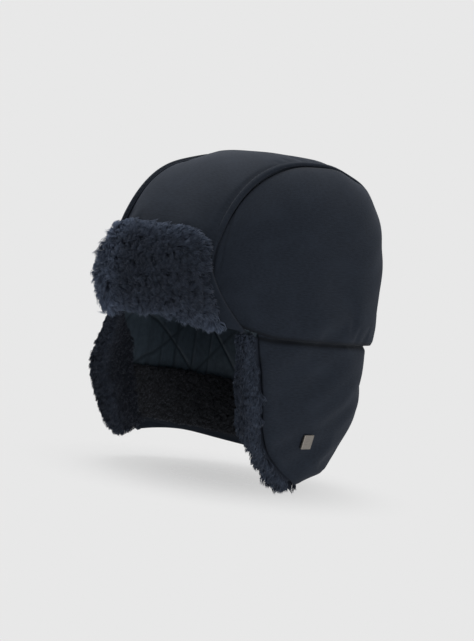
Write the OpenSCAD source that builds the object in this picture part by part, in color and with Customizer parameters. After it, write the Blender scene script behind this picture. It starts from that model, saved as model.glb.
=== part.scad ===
// Trapper hat with a turned-up front flap, hanging ear flaps and a neck curtain.
// Millimetres. +Z is up, -Y is the front and +X is the wearer's left.
// The origin is the middle of the head opening, level with the crown's lower seam.

/* [Crown] */
// Half width of the crown at its lower seam
crown_half_w = 91.5; // [86:0.5:97]
// Half length of the crown at its lower seam
crown_half_l = 110; // [104:0.5:116]
// Height of the crown above its lower seam
crown_h = 136; // [124:1:148]
// Half width of the centre panel that runs from brow to nape
centre_half_w = 48; // [44:1:54]
// How far the top leans to the back
crown_lean = 14; // [8:1:20]
// How much the top rises towards the back
crown_rise = 8; // [2:1:12]
// How far the brow is drawn in at the lower edge
brow_tuck = 10; // [4:1:14]
// How far the lower edge arches up over the brow
brow_lift = 9; // [5:1:13]
// Squareness of the crown's plan
plan_power = 2.6; // [2.3:0.1:2.9]
// Squareness of the crown seen from the front
side_power = 3.1; // [2.7:0.1:3.5]
// Squareness of the crown's front profile
front_power = 2.85; // [2.5:0.05:3.2]
// Squareness of the crown's back profile
back_power = 3.3; // [2.9:0.1:3.7]
// Width of the raised welt along each crown seam
welt_w = 5; // [3:0.5:7]
// Height of the raised welt over the panels
welt_h = 1.2; // [0.8:0.1:1.6]

/* [Cloth] */
// Thickness of the outer cloth
shell_t = 1.2; // [0.8:0.1:1.8]
// Thickness of the wadding in the crown
crown_wadding_t = 4.5; // [3:0.5:6]
// Thickness of the quilted lining
lining_t = 1; // [0.6:0.1:1.6]
// Thickness of the wadding in the flaps and the neck curtain
flap_wadding_t = 2; // [1:0.5:3]
// Thickness of the sherpa in the ear flaps
sherpa_t = 10; // [7:0.5:13]
// Thickness of the short pile in the neck curtain and behind the ear flaps' sherpa
short_pile_t = 6; // [4:0.5:8]
// Room between two layers of cloth
layer_gap = 0.2; // [0.15:0.05:0.4]
// Room between two pieces that are sewn edge to edge
seam_gap = 0.3; // [0.2:0.05:0.5]

/* [Neck curtain] */
// How far the curtain steps in under the crown's lower edge
curtain_step = 3.5; // [2:0.5:5]
// Depth of the hem below the crown's seam at the nape
hem_depth = 98; // [92:1:104]
// Half width of the curtain at the hem
hem_half_w = 80; // [76:0.5:84]
// Half length of the curtain at the hem
hem_half_l = 92; // [87:0.5:97]
// Depth at which the curtain starts to draw in towards the neck
taper_start = 42; // [34:1:52]
// Depth of the quilted lining inside the curtain
lining_depth = 50; // [42:1:58]
// Width of the hem binding
binding_w = 6; // [4:0.5:8]

/* [Ear flaps] */
// Depth of the ear flap's tip below the crown's seam
tip_depth = 108; // [104:1:114]
// Distance of the flap's front edge from the middle of the hat at the temple
temple_y = 66; // [62:1:70]
// How far the straight part of the front edge slants back
edge_slant = 26; // [20:1:32]
// How far the rounded lower corner sweeps back
corner_sweep = 42; // [34:1:48]
// How far the sherpa's outer face stands out past the front edge
sherpa_over = 10; // [7:0.5:12]
// How far the sherpa's inner face stands out past the front edge
sherpa_inner_over = 1; // [0.5:0.5:3]
// Distance of the sherpa's inner edge ahead of the middle of the hat at the temple
band_temple_y = 35; // [30:1:40]
// Distance of the sherpa's inner edge ahead of the middle of the hat at the hem
band_hem_y = 10; // [5:1:15]
// Width of the fixed cloth's end beside the flap's fold at the temple
fold_temple_w = 4; // [3:0.5:6]
// Distance of the fold's lower end behind the middle of the hat
fold_hem_y = 62; // [54:1:68]
// Height and width of the metal badge
badge_size = 11; // [8:0.5:14]
// Thickness of the metal badge
badge_t = 1.4; // [1:0.1:2]
// Depth of the badge's middle below the crown's seam
badge_depth = 74; // [66:1:80]
// Distance of the badge's middle behind the middle of the hat
badge_y = 0; // [-4:1:4]

/* [Front flap] */
// Height of the flap's top edge above the crown's seam
flap_top_z = 70; // [62:1:78]
// Height of the flap's lower edge at the middle of the brow
flap_mid_z = 9; // [6:1:12]
// Height of the flap's lower edge at the temples
flap_side_z = 3; // [1:0.5:6]
// Half angle that the flap spans round the brow at its lower edge
flap_base_angle = 52; // [48:1:54]
// Half angle that the flap spans at its top edge
flap_top_angle = 25; // [22:1:32]
// Thickness of the flap's sherpa at its fullest
flap_sherpa_t = 9; // [7:0.5:12]
// Bare backing cloth beside the sherpa at the lower edge, as an angle
flap_margin_angle = 17; // [14:0.5:20]

/* [Hidden] */

navy = [0.13, 0.15, 0.19];
navy_wadding = [0.55, 0.57, 0.6];
navy_lining = [0.08, 0.1, 0.13];
navy_sherpa = [0.1, 0.12, 0.16];
badge_metal = [0.46, 0.44, 0.41];

// Points along the crown from brow to nape, and across each panel
crown_steps = 20;
centre_steps = 6;
side_steps = 8;
welt_steps = 2;
// Points along and down the curtain, the ear flap and the front flap
neck_rows = 4;
neck_steps = 10;
flap_rows = 8;
band_steps = 3;
facing_steps = 4;
facing_row = 2;
brow_rows = 6;
brow_steps = 18;
search_steps = 30;

// Depths of the layers below the outer face of the crown
crown_wadding_at = shell_t + layer_gap;
crown_lining_at = crown_wadding_at + crown_wadding_t + layer_gap;
// Depths of the layers below the outer face of the curtain and the ear flaps
flap_wadding_at = shell_t + layer_gap;
flap_lining_at = flap_wadding_at + flap_wadding_t + layer_gap;
ear_facing_at = flap_lining_at + 2 * layer_gap;
// Heights of the front flap's layers above the crown, clear of the welt
front_shell_at = welt_h + layer_gap + 3 * seam_gap;
front_wadding_at = front_shell_at + shell_t + layer_gap;
front_sherpa_at = front_wadding_at + flap_wadding_t + 2 * layer_gap;
// Share of the facing's width that is left free beside the sherpa
facing_room = 0.03;
// Where the brow starts to lift, and how high its tuck reaches
brow_start = crown_half_l / 2;
tuck_reach = 0.45;
// Half angle round the brow at which the front flap's lower edge stops arching
flap_foot_angle = 0.9 * flap_base_angle;
// Shares of the curtain's depth at which its lining ends and its binding starts
lining_share = lining_depth / hem_depth;
binding_share = 1 - binding_w / hem_depth;
seam_share = seam_gap / hem_depth;
// Rows that every layer of the curtain shares, so that the layers stay apart
neck_shares = concat([for (i = [1:neck_rows]) lining_share * i / neck_rows],
    [for (i = [1:neck_rows]) mix(lining_share, binding_share, i / neck_rows)]);

function mix(a, b, s) = a + (b - a) * s;
function clamp01(s) = min(1, max(0, s));
function ease(s) = let (c = clamp01(s)) c * c * (3 - 2 * c);
function signed_pow(v, k) = sign(v) * pow(abs(v), k);

// Share of the crown's width and length that is left at a share t of its height
function width_share(t) = pow(1 - pow(t, side_power), 1 / side_power);
function length_share(t, y) =
    let (q = y < 0 ? front_power : back_power) pow(1 - pow(t, q), 1 / q);

// The brow edge's height at a distance y ahead of the middle
function brow_z(y) = brow_lift * ease((-y - brow_start) / (crown_half_l - brow_start));

// Moves a point of the plain dome to its place: brow drawn in, top leaning back and risen
function crown_place(x, y, t, inset) =
    let (tuck = y < 0 ? brow_tuck * max(0, 1 - t / tuck_reach) / crown_half_l : 0)
    [x, y * (1 - tuck) + crown_lean * t,
        (crown_h - inset) * t + crown_rise * t * t * y / crown_half_l];

// How full the dome is at a point: under 1 is inside
function crown_fill(x, y, t, inset) =
    t >= 1 ? 2 :
    pow(abs(x) / ((crown_half_w - inset) * width_share(t)), plan_power)
    + pow(abs(y) / ((crown_half_l - inset) * length_share(t, y)), plan_power);

// How far the dome reaches in the slice at x, in a direction from brow to nape
function crown_reach(x, angle, inset, near, far, n) =
    n == 0 ? near :
    let (m = (near + far) / 2, y = -m * (crown_half_l - inset) * cos(angle))
    crown_fill(x, y, m * sin(angle), inset) < 1
        ? crown_reach(x, angle, inset, m, far, n - 1)
        : crown_reach(x, angle, inset, near, m, n - 1);

function crown_point(x, angle, inset) =
    let (m = crown_reach(x, angle, inset, 0, 1.5, search_steps))
    crown_place(x, -m * (crown_half_l - inset) * cos(angle), m * sin(angle), inset);

// The direction of the brow edge in the slice at a share of the crown's half width
function brow_angle(share) =
    let (y = crown_half_l * pow(max(0, 1 - pow(min(1, abs(share)), plan_power)), 1 / plan_power))
    y == 0 ? 0 : atan2(brow_z(-y) / crown_h, y / crown_half_l);

// One row of crown points from the brow to the nape
function crown_row(x, inset) =
    let (first = brow_angle(x / (crown_half_w - inset)))
    [for (i = [0:crown_steps]) crown_point(x, mix(first, 180, i / crown_steps), inset)];

function centre_grid(inset, from_x, to_x, steps) =
    [for (i = [0:steps]) crown_row(mix(from_x, to_x, i / steps), inset)];

// The side panel's rows crowd towards its lower middle, where they meet in one point
function side_grid(inset) =
    let (first = centre_half_w + seam_gap / 2, last = crown_half_w - inset)
    [for (i = [0:side_steps]) crown_row(mix(first, last, 1 - pow(1 - i / side_steps, 3)), inset)];

// The curtain draws in from the crown's plan to the neck's between its taper and the hem
function curtain_taper(z) = ease((-z - taper_start) / (hem_depth - taper_start));
function curtain_w(z) = mix(crown_half_w - curtain_step, hem_half_w, curtain_taper(z));
function curtain_l(z) = mix(crown_half_l - curtain_step, hem_half_l, curtain_taper(z));
function curtain_power(z) = mix(plan_power, 2, curtain_taper(z));
function curtain_point(angle, z, inset) =
    let (k = 2 / curtain_power(z))
    [(curtain_w(z) - inset) * signed_pow(cos(angle), k),
        (curtain_l(z) - inset) * signed_pow(sin(angle), k), z];
// The angle round the curtain at which it reaches the distance y behind the middle
function curtain_angle(y, z, inset) =
    asin(signed_pow(max(-1, min(1, y / (curtain_l(z) - inset))), curtain_power(z) / 2));

// The fold of the ear flap, a straight line from the temple to the hem
fold_top_y = -temple_y + fold_temple_w;
fold_top_z = brow_z(fold_top_y) - seam_gap;
fold_slope = (fold_hem_y - fold_top_y) / (-hem_depth - fold_top_z);
// Half the seam gap, measured along Y across the sloping fold
fold_room = seam_gap / 2 * sqrt(1 + fold_slope * fold_slope);
function fold_y(z, side) = fold_top_y + (z - fold_top_z) * fold_slope + side * fold_room;

// The ear flap's front edge: a slanting line that sweeps back into a round corner
function front_edge_y(v, over) =
    -temple_y - over + edge_slant * v + corner_sweep * pow(v, 5);

// Heights on the ear flap's front edge and fold, and its angles there
function ear_front_z(v) = mix(fold_top_z, -tip_depth, v);
function ear_fold_z(v) = mix(fold_top_z, -hem_depth, v);
function ear_front_angle(v, inset, over) = curtain_angle(front_edge_y(v, over), ear_front_z(v), inset);
function ear_fold_angle(v, inset) = curtain_angle(fold_y(ear_fold_z(v), -1), ear_fold_z(v), inset);
// Points of the ear flap, v from temple to hem and u from front edge to fold
function ear_point(u, v, inset, over) =
    curtain_point(mix(ear_front_angle(v, inset, over), ear_fold_angle(v, inset), u),
        mix(ear_front_z(v), ear_fold_z(v), 1 - pow(1 - u, 3)), inset);
// The share of the flap's width that its sherpa covers; the short-piled facing covers the rest
function band_share(v) =
    let (z = ear_fold_z(v), first = ear_front_angle(v, flap_lining_at, 0),
        last = ear_fold_angle(v, flap_lining_at),
        y = max(mix(-band_temple_y, -band_hem_y, v), front_edge_y(v, 0) + 1.5 * sherpa_over))
    min(0.6, max(0.2, (curtain_angle(y, z, flap_lining_at) - first) / (last - first)));
// Columns that every layer of the ear flap shares
function band_columns(v) = [for (j = [0:band_steps]) band_share(v) * j / band_steps];
function facing_columns(v, room) =
    [for (j = [0:facing_steps]) mix(band_share(v), 1, max(room, j / facing_steps))];
function ear_grid(inset) =
    [for (i = [0:flap_rows]) let (v = i / flap_rows)
        [for (u = concat(band_columns(v), [for (c = facing_columns(v, 0)) if (c > band_share(v)) c]))
            ear_point(u, v, inset, 0)]];
function band_grid(inset, over) =
    [for (i = [0:flap_rows]) let (v = i / flap_rows) concat([ear_point(0, v, inset, over)],
        [for (u = band_columns(v)) ear_point(u, v, inset, 0)])];
function facing_grid(inset) =
    [for (i = [facing_row:flap_rows]) let (v = i / flap_rows)
        [for (u = facing_columns(v, facing_room)) ear_point(u, v, inset, 0)]];

// The angle that leaves half a seam gap at the nape
function nape_angle(z, inset) = acos(pow(seam_gap / 2 / (curtain_w(z) - inset), curtain_power(z) / 2));
// The curtain's top edge follows the crown's lower edge
function neck_top_z(u, inset) =
    brow_z(curtain_point(mix(curtain_angle(fold_top_y, 0, inset), 90, u), 0, inset)[1]) - seam_gap;
// Points of the fixed curtain, v from seam to hem and u from the fold to the nape
function neck_point(u, v, inset) =
    let (zg = mix(fold_top_z, -hem_depth, v), z = mix(neck_top_z(u, inset), -hem_depth, v),
        ag = curtain_angle(fold_y(zg, 1), zg, inset), ab = nape_angle(z, inset))
    curtain_point(mix(ag, ab, u), z, inset);
function neck_grid(inset, from_v, to_v) =
    let (inner = [for (v = neck_shares) if (v > from_v + seam_share && v < to_v - seam_share) v])
    [for (v = concat([from_v], inner, [to_v])) [for (j = [0:neck_steps])
        neck_point(j / neck_steps, v, inset)]];

// The front flap narrows from its lower edge to its top, fast at first
function front_half_angle(v, margin) =
    mix(flap_top_angle, flap_base_angle, pow(1 - v, 1.8)) - margin * (0.2 + 0.8 * pow(1 - v, 1.3));
// Its lower edge arches over the brow, and its top corners are round
function front_foot(angle) =
    mix(flap_side_z, flap_mid_z, pow(cos(90 * min(1, abs(angle) / flap_foot_angle)), 2));
function front_round(c) = pow(1 - pow(0.92 * abs(c), 5), 1 / 5);
// Points of the front flap, c from temple to temple and v from lower to top edge
function front_point(c, v, offset, margin) =
    let (side = c * front_half_angle(v, margin), angle = side - 90,
        z = mix(front_foot(c * front_half_angle(0, margin)), flap_top_z * front_round(c), v),
        t = z / (crown_h + offset),
        x = (crown_half_w + offset) * width_share(t) * signed_pow(cos(angle), 2 / plan_power),
        y = (crown_half_l + offset) * length_share(t, -1) * signed_pow(sin(angle), 2 / plan_power))
    crown_place(x, y, t, -offset);
// The sherpa is fullest above the fold and thins to its edges
function sherpa_swell(c, v) = 0.35 + 0.65 * sin(mix(15, 165, v)) * sqrt(1 - 0.75 * c * c);
function front_grid(offset, margin, swell) =
    [for (i = [0:brow_rows]) [for (j = [0:brow_steps])
        let (v = i / brow_rows, c = 2 * j / brow_steps - 1)
        front_point(c, v, offset + swell * sherpa_swell(c, v), margin)]];

// A closed sheet between an outer and an inner grid; a pole closes its last row to a point
module sheet(outer, inner, pole = false) {
    rows = len(outer);
    cols = len(outer[0]);
    count = rows * cols;
    mid = floor(rows / 2) - 1;
    half = floor(cols / 2);
    facing = cross(outer[mid + 1][half] - outer[mid][half], outer[mid][half + 1] - outer[mid][half])
        * (outer[mid][half] - inner[mid][half]);
    function at(r, c) = pole && r == rows - 1 ? r * cols : r * cols + c;
    function quad(a, b, c, d) =
        [for (f = facing > 0 ? [[a, d, c], [a, c, b]] : [[a, b, c], [a, c, d]])
            if (f[0] != f[1] && f[1] != f[2] && f[2] != f[0]) f];
    skin = [for (r = [0:rows - 2]) for (c = [0:cols - 2])
        each concat(
            quad(at(r, c), at(r + 1, c), at(r + 1, c + 1), at(r, c + 1)),
            quad(count + at(r, c), count + at(r, c + 1),
                count + at(r + 1, c + 1), count + at(r + 1, c)))];
    sides = [for (r = [0:rows - 2])
        each concat(
            quad(at(r, 0), count + at(r, 0), count + at(r + 1, 0), at(r + 1, 0)),
            quad(at(r, cols - 1), at(r + 1, cols - 1),
                count + at(r + 1, cols - 1), count + at(r, cols - 1)))];
    ends = [for (c = [0:cols - 2])
        each concat(
            quad(at(0, c), at(0, c + 1), count + at(0, c + 1), count + at(0, c)),
            pole ? [] : quad(at(rows - 1, c), count + at(rows - 1, c),
                count + at(rows - 1, c + 1), at(rows - 1, c + 1)))];
    polyhedron(points = [for (g = [outer, inner]) for (r = g) each r],
        faces = concat(skin, sides, ends));
}

module on_right() { mirror([1, 0, 0]) children(); }

// Crown layers
module centre_layer(at, t) {
    edge = centre_half_w - seam_gap / 2;
    sheet(centre_grid(at, -edge, edge, centre_steps), centre_grid(at + t, -edge, edge, centre_steps));
}
module side_layer(at, t) {
    sheet(side_grid(at), side_grid(at + t), pole = true);
}
module welt() {
    from_x = centre_half_w - welt_w;
    to_x = centre_half_w;
    top = -layer_gap - welt_h;
    sheet(centre_grid(top, from_x, to_x, welt_steps), centre_grid(-layer_gap, from_x, to_x, welt_steps));
}
module crown_centre_panel() { color(navy) centre_layer(0, shell_t); }
module crown_side_panel_left() { color(navy) side_layer(0, shell_t); }
module crown_side_panel_right() { color(navy) on_right() side_layer(0, shell_t); }
module crown_welt_left() { color(navy) welt(); }
module crown_welt_right() { color(navy) on_right() welt(); }
module crown_wadding_centre() { color(navy_wadding) centre_layer(crown_wadding_at, crown_wadding_t); }
module crown_wadding_left() { color(navy_wadding) side_layer(crown_wadding_at, crown_wadding_t); }
module crown_wadding_right() { color(navy_wadding) on_right() side_layer(crown_wadding_at, crown_wadding_t); }
module crown_lining_centre() { color(navy_lining) centre_layer(crown_lining_at, lining_t); }
module crown_lining_left() { color(navy_lining) side_layer(crown_lining_at, lining_t); }
module crown_lining_right() { color(navy_lining) on_right() side_layer(crown_lining_at, lining_t); }

// Neck curtain layers
module neck_layer(at, t, from_v, to_v) {
    sheet(neck_grid(at, from_v, to_v), neck_grid(at + t, from_v, to_v));
}
module neck_shell() { neck_layer(0, shell_t, 0, 1); }
module neck_wadding() { neck_layer(flap_wadding_at, flap_wadding_t, 0, binding_share - seam_share); }
module neck_lining() { neck_layer(flap_lining_at, lining_t, 0, lining_share - seam_share); }
module neck_sherpa() { neck_layer(flap_lining_at, short_pile_t, lining_share, binding_share - seam_share); }
module hem_binding() { neck_layer(flap_wadding_at, flap_wadding_t + lining_t, binding_share, 1); }
module neck_shell_left() { color(navy) neck_shell(); }
module neck_shell_right() { color(navy) on_right() neck_shell(); }
module neck_wadding_left() { color(navy_wadding) neck_wadding(); }
module neck_wadding_right() { color(navy_wadding) on_right() neck_wadding(); }
module neck_lining_left() { color(navy_lining) neck_lining(); }
module neck_lining_right() { color(navy_lining) on_right() neck_lining(); }
module neck_sherpa_left() { color(navy_sherpa) neck_sherpa(); }
module neck_sherpa_right() { color(navy_sherpa) on_right() neck_sherpa(); }
module hem_binding_left() { color(navy) hem_binding(); }
module hem_binding_right() { color(navy) on_right() hem_binding(); }

// Ear flap layers
module ear_layer(at, t) {
    sheet(ear_grid(at), ear_grid(at + t));
}
module ear_flap_shell_left() { color(navy) ear_layer(0, shell_t); }
module ear_flap_shell_right() { color(navy) on_right() ear_layer(0, shell_t); }
module ear_flap_wadding_left() { color(navy_wadding) ear_layer(flap_wadding_at, flap_wadding_t); }
module ear_flap_wadding_right() { color(navy_wadding) on_right() ear_layer(flap_wadding_at, flap_wadding_t); }
module ear_sherpa() {
    sheet(band_grid(flap_lining_at, sherpa_over), band_grid(flap_lining_at + sherpa_t, sherpa_inner_over));
}
module ear_facing() {
    sheet(facing_grid(ear_facing_at), facing_grid(ear_facing_at + short_pile_t));
}
module ear_flap_sherpa_left() { color(navy_sherpa) ear_sherpa(); }
module ear_flap_sherpa_right() { color(navy_sherpa) on_right() ear_sherpa(); }
module ear_flap_facing_left() { color(navy_sherpa) ear_facing(); }
module ear_flap_facing_right() { color(navy_sherpa) on_right() ear_facing(); }

// The bare metal badge on the left ear flap, with a bevelled face
badge_angle = curtain_angle(badge_y, -badge_depth, 0);
badge_at = curtain_point(badge_angle, -badge_depth, 0);
badge_lower = curtain_point(badge_angle, -badge_depth - badge_size / 2, 0);
badge_upper = curtain_point(badge_angle, -badge_depth + badge_size / 2, 0);
badge_front = curtain_point(curtain_angle(badge_y - badge_size / 2, -badge_depth, 0), -badge_depth, 0);
badge_back = curtain_point(curtain_angle(badge_y + badge_size / 2, -badge_depth, 0), -badge_depth, 0);
badge_tilt = atan2(badge_upper[0] - badge_lower[0], badge_size);
badge_turn = atan2(badge_front[0] - badge_back[0], badge_size);
badge_bevel = badge_t / 3;
module badge_plate() {
    color(badge_metal) translate(badge_at) rotate([0, badge_tilt, badge_turn]) translate([seam_gap, 0, 0])
        rotate([90, 0, 90]) {
            linear_extrude(badge_t - badge_bevel) square(badge_size, center = true);
            translate([0, 0, badge_t - badge_bevel])
                linear_extrude(badge_bevel, scale = 1 - 2 * badge_bevel / badge_size)
                    square(badge_size, center = true);
        }
}

// Front flap layers, from the crown outwards
module front_layer(at, t) { sheet(front_grid(at + t, 0, 0), front_grid(at, 0, 0)); }
module front_flap_shell() { color(navy) front_layer(front_shell_at, shell_t); }
module front_flap_wadding() { color(navy_wadding) front_layer(front_wadding_at, flap_wadding_t); }
module front_flap_sherpa() {
    color(navy_sherpa) sheet(front_grid(front_sherpa_at, flap_margin_angle, flap_sherpa_t),
        front_grid(front_sherpa_at, flap_margin_angle, 0));
}

crown_centre_panel();
crown_side_panel_left();
crown_side_panel_right();
crown_welt_left();
crown_welt_right();
crown_wadding_centre();
crown_wadding_left();
crown_wadding_right();
crown_lining_centre();
crown_lining_left();
crown_lining_right();
neck_shell_left();
neck_shell_right();
neck_wadding_left();
neck_wadding_right();
neck_lining_left();
neck_lining_right();
neck_sherpa_left();
neck_sherpa_right();
hem_binding_left();
hem_binding_right();
ear_flap_shell_left();
ear_flap_shell_right();
ear_flap_wadding_left();
ear_flap_wadding_right();
ear_flap_sherpa_left();
ear_flap_sherpa_right();
ear_flap_facing_left();
ear_flap_facing_right();
badge_plate();
front_flap_shell();
front_flap_wadding();
front_flap_sherpa();
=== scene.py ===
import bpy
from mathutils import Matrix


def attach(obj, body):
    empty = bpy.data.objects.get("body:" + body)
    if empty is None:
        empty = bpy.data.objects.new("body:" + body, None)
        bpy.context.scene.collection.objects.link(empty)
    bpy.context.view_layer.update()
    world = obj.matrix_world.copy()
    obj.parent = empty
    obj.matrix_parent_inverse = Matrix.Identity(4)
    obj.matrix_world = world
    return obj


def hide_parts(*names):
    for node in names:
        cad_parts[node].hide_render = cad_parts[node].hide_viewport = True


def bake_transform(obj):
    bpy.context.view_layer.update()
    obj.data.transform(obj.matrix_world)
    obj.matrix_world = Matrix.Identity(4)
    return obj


bl_info = {
    "name": "Trapper hat",
    "version": (1, 0, 0),
    "blender": (4, 5, 0),
    "location": "3D View > Sidebar > Hat",
    "description": "Dresses the packed trapper hat with cloth, quilting, sherpa pile and a metal badge",
    "category": "Object",
}

import math

import bmesh
import bpy
import numpy as np
from mathutils import Matrix, Vector
from mathutils.kdtree import KDTree

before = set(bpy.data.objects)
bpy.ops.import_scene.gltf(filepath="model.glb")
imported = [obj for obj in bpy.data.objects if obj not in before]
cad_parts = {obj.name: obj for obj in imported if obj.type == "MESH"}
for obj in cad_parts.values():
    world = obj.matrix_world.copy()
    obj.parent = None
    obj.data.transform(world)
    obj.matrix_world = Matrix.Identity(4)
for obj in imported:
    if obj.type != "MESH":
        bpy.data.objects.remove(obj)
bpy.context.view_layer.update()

MM = 0.001

# Shape of the hat in millimetres, as in the solids
CROWN_HALF_W = 91.5
CROWN_HALF_L = 110.0
CROWN_H = 136.0
CENTRE_HALF_W = 48.0
CROWN_LEAN = 14.0
CROWN_RISE = 8.0
BROW_TUCK = 10.0
BROW_LIFT = 9.0
BROW_START = 55.0
TUCK_REACH = 0.45
PLAN_POWER = 2.6
SIDE_POWER = 3.1
FRONT_POWER = 2.85
BACK_POWER = 3.3
SEAM_GAP = 0.3
CURTAIN_STEP = 3.5
HEM_DEPTH = 98.0
HEM_HALF_W = 80.0
HEM_HALF_L = 92.0
TAPER_START = 42.0
LINING_DEPTH = 52.0
QUILT_START = 39.5
BINDING_W = 6.0
TIP_DEPTH = 108.0
TEMPLE_Y = 66.0
EDGE_SLANT = 26.0
CORNER_SWEEP = 42.0
SHERPA_OVER = 8.0
BAND_TEMPLE_Y = 35.0
BAND_HEM_Y = 10.0
FOLD_TOP_Y = -62.0
FOLD_HEM_Y = 62.0
FLAP_TOP_Z = 70.0
FLAP_MID_Z = 9.0
FLAP_SIDE_Z = 3.0
FLAP_BASE_ANGLE = 47.0
FLAP_TOP_ANGLE = 25.0
FLAP_MARGIN_ANGLE = 13.0
FLAP_FOOT_ANGLE = 47.0
BADGE_DEPTH = 74.0
BADGE_Y = 0.0

# How the soft hat sits: lifted, splayed and pressed in on its right, slack on top, hanging at the nape
RIGHT_LIFT = 12.5
RIGHT_SPLAY = 0.2
NAPE_DROOP = 3.0
NAPE_FLARE = 1.5
SHOULDER_SLACK = 3.5
TEMPLE_PRESS = 5.5
PANEL_PRESS = 8.0
WELT_PUSH = 0.8

# Middles in plan and widths of the slack shoulders and of the pressed temple, and the way the press goes
RIGHT_SHOULDER = (-36.0, -26.0, 26.0)
LEFT_SHOULDER = (42.0, 62.0, 24.0)
TEMPLE_SPOT = (-75.0, -75.0, 38.0)
PRESS_X = 0.77
PRESS_Y = 0.63

# Simulation of slack cloth: its stiffness, the push of the wadding, its length and the cap on any move
SLACK_BENDING = 5.0
SLACK_PRESSURE = 0.6
SLACK_FRAMES = 20
SLACK_CAP = 5.0

# How much smaller a crown panel is at its middle before the simulation swells it
CROWN_START_IN = 1.8

# Height of the soft roll that the side panels make above the lower seam
SEAM_ROLL = 1.4

# Pile: strands in a lock, their gathering, bow and sink, shades of strand and pad, the neck's strand width
STRANDS_IN_LOCK = 8
LOCK_GATHER = 0.55
STRAND_BOW = 0.22
ROOT_SINK = 0.8
STRAND_SHADES = (0.125, 0.125, 0.125, 0.325, 0.325, 0.325, 0.5)
PAD_SHADE = 0.09
NECK_STRAND_W = 0.35

# Layers: padded thickness, the curtain's tuck under the crown, and how far in or out the others lie
CROWN_THICK = 4.4
CURTAIN_THICK = 3.2
CURTAIN_UNDER = 3.5
CROWN_LINING_IN = 6.4
NECK_LINING_IN = 4.9
NECK_PILE_IN = 3.9
EAR_PILE_IN = 4.0
HEM_IN = 3.3
FLAP_OUT = 5.3
FLAP_PILE_OUT = 5.4

# Sewing: edges of the crown's panels and welts, runs of seams, the quilting, its pleats and the stitches
CENTRE_EDGE = CENTRE_HALF_W - SEAM_GAP / 2
SIDE_EDGE = CENTRE_HALF_W + SEAM_GAP / 2
WELT_INNER_X = 43.2
WELT_OUTER_X = 48.2
WELT_LENGTH = 330.0
HEM_LENGTH = 150.0
SIDE_RUN = 80.0
CENTRE_QUILT_RUN = 300.0
SIDE_QUILT_RUN = 110.0
QUILT_LEAN = 0.87
QUILT_LINE_W = 1.25
PLEAT_PITCH = 11.0
STITCH_SHARE = 0.72
STITCH_RADIUS = 0.22

# Distance round the curtain for each radian: at the temple, on the lining and at the nape
TEMPLE_RADIUS = 88.0
LINING_RADIUS = 92.0
NAPE_RADIUS = 100.0

# A spot inside the crown that its stitches face away from
CROWN_MIDDLE = np.array([0.0, 10.0, 20.0])

# Tint of the soft gloss on cloth and pile
SHEEN_TINT = (0.75, 0.82, 1.0, 1)

# Badge: side, thickness, width of its rim, how far its face is raised, its rounded edge and its seat
BADGE_SIZE = 11.0
BADGE_THICK = 1.4
BADGE_RIM = 0.9
BADGE_RAISE = 0.25
BADGE_EDGE = 0.2
BADGE_SEAT = 0.9

# Camera: lens and shifts in pixels of a picture of that height, its sensor, distance in metres and axes
PICTURE_H = 641
FOCAL_PIXELS = 1625
SHIFT_PIXELS = (3.7, 5.8)
SENSOR_MM = 36
CAMERA_DISTANCE = 1.25
CAMERA_RIGHT = (0.76604, 0.62632, 0.14460)
CAMERA_UP = (-0.14460, -0.05128, 0.98816)
CAMERA_BACK = (0.62632, -0.77788, 0.05128)

# Floor, in metres
FLOOR_RADIUS = 0.6
FLOOR_Z = -0.1165


def mix(a, b, share):
    return a + (b - a) * share


def ease(share):
    c = np.clip(share, 0, 1)
    return c * c * (3 - 2 * c)


def bump(distance, width):
    return np.exp(-np.square(distance / width))


def signed_power(value, power):
    return np.sign(value) * np.abs(value) ** power


def unit(vectors):
    return vectors / np.maximum(np.linalg.norm(vectors, axis=-1, keepdims=True), 1e-9)


def width_share(t):
    return (1 - np.clip(t, 0, 1) ** SIDE_POWER) ** (1 / SIDE_POWER)


def length_share(t, y):
    power = np.where(y < 0, FRONT_POWER, BACK_POWER)
    return (1 - np.clip(t, 0, 1) ** power) ** (1 / power)


def brow_z(y):
    return BROW_LIFT * ease((-y - BROW_START) / (CROWN_HALF_L - BROW_START))


def crown_place(x, y, t, inset):
    """Puts a point of the plain dome in place, with the brow drawn in and the top leaning back."""
    tuck = np.where(y < 0, BROW_TUCK * np.maximum(0, 1 - t / TUCK_REACH) / CROWN_HALF_L, 0)
    z = (CROWN_H - inset) * t + CROWN_RISE * t * t * y / CROWN_HALF_L
    return np.stack([x, y * (1 - tuck) + CROWN_LEAN * t, z], axis=-1)


def crown_slice(x, angle, inset):
    """Points of the crown in the slices at x, in directions from the brow to the nape."""
    near = np.zeros_like(x)
    far = np.full_like(x, 1.5)
    wide = CROWN_HALF_W - inset
    long = CROWN_HALF_L - inset
    for _ in range(34):
        reach = (near + far) / 2
        y = -reach * long * np.cos(angle)
        t = reach * np.sin(angle)
        across = np.abs(x) / np.maximum(wide * width_share(t), 1e-6)
        along = np.abs(y) / np.maximum(long * length_share(t, y), 1e-6)
        outside = (across**PLAN_POWER + along**PLAN_POWER >= 1) | (t >= 1)
        far = np.where(outside, reach, far)
        near = np.where(outside, near, reach)
    return crown_place(x, -near * long * np.cos(angle), near * np.sin(angle), inset)


def crown_ring(angle, t, inset):
    """Points of the crown at plan angles from its left side and at shares of its height."""
    x = (CROWN_HALF_W - inset) * width_share(t) * signed_power(np.cos(angle), 2 / PLAN_POWER)
    side = np.sin(angle)
    y = (CROWN_HALF_L - inset) * length_share(t, side) * signed_power(side, 2 / PLAN_POWER)
    return crown_place(x, y, t, inset)


def brow_angle(x):
    share = np.clip(np.abs(x) / CROWN_HALF_W, 0, 0.999)
    y = CROWN_HALF_L * (1 - share**PLAN_POWER) ** (1 / PLAN_POWER)
    return np.arctan2(brow_z(-y) / CROWN_H, y / CROWN_HALF_L)


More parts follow.
